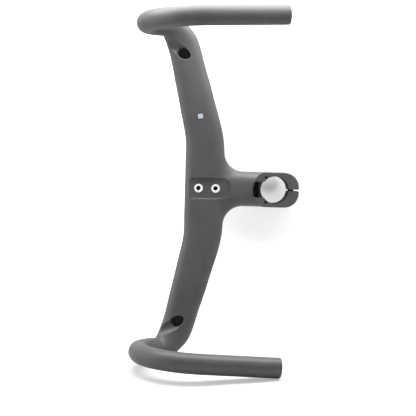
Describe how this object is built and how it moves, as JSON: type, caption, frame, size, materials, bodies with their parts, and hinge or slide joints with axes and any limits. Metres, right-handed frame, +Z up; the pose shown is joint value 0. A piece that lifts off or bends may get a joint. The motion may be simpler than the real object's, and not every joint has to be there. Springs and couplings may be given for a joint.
{
  "type": "integrated handlebar stem",
  "caption": "One-piece hollow carbon drop handlebar and stem with a split steerer clamp, wing tops, scooped cable ports and a recess for a screwed-on accessory.",
  "frame": {"origin": "on the steerer axis, at the clamp's flat lower face", "axes": "+Z up along the steerer axis, +X forwards, +Y to the rider's left"},
  "size_m": [0.1958, 0.4238, 0.1538],
  "materials": {
    "carbon": "moulded carbon laminate, matte dark grey",
    "insert_alloy": "turned and polished",
    "screw_steel": "black oxide",
    "washer_steel": "stamped, plain",
    "nut_alloy": "turned"
  },
  "bodies": {
    "root": {"bar_stem_body": "carbon", "mount_insert_front": "insert_alloy", "mount_insert_rear": "insert_alloy", "clamp_bolt_upper": "screw_steel", "clamp_bolt_lower": "screw_steel", "clamp_washer_upper": "washer_steel", "clamp_washer_lower": "washer_steel", "clamp_nut_upper": "nut_alloy", "clamp_nut_lower": "nut_alloy"}
  },
  "joints": []
}
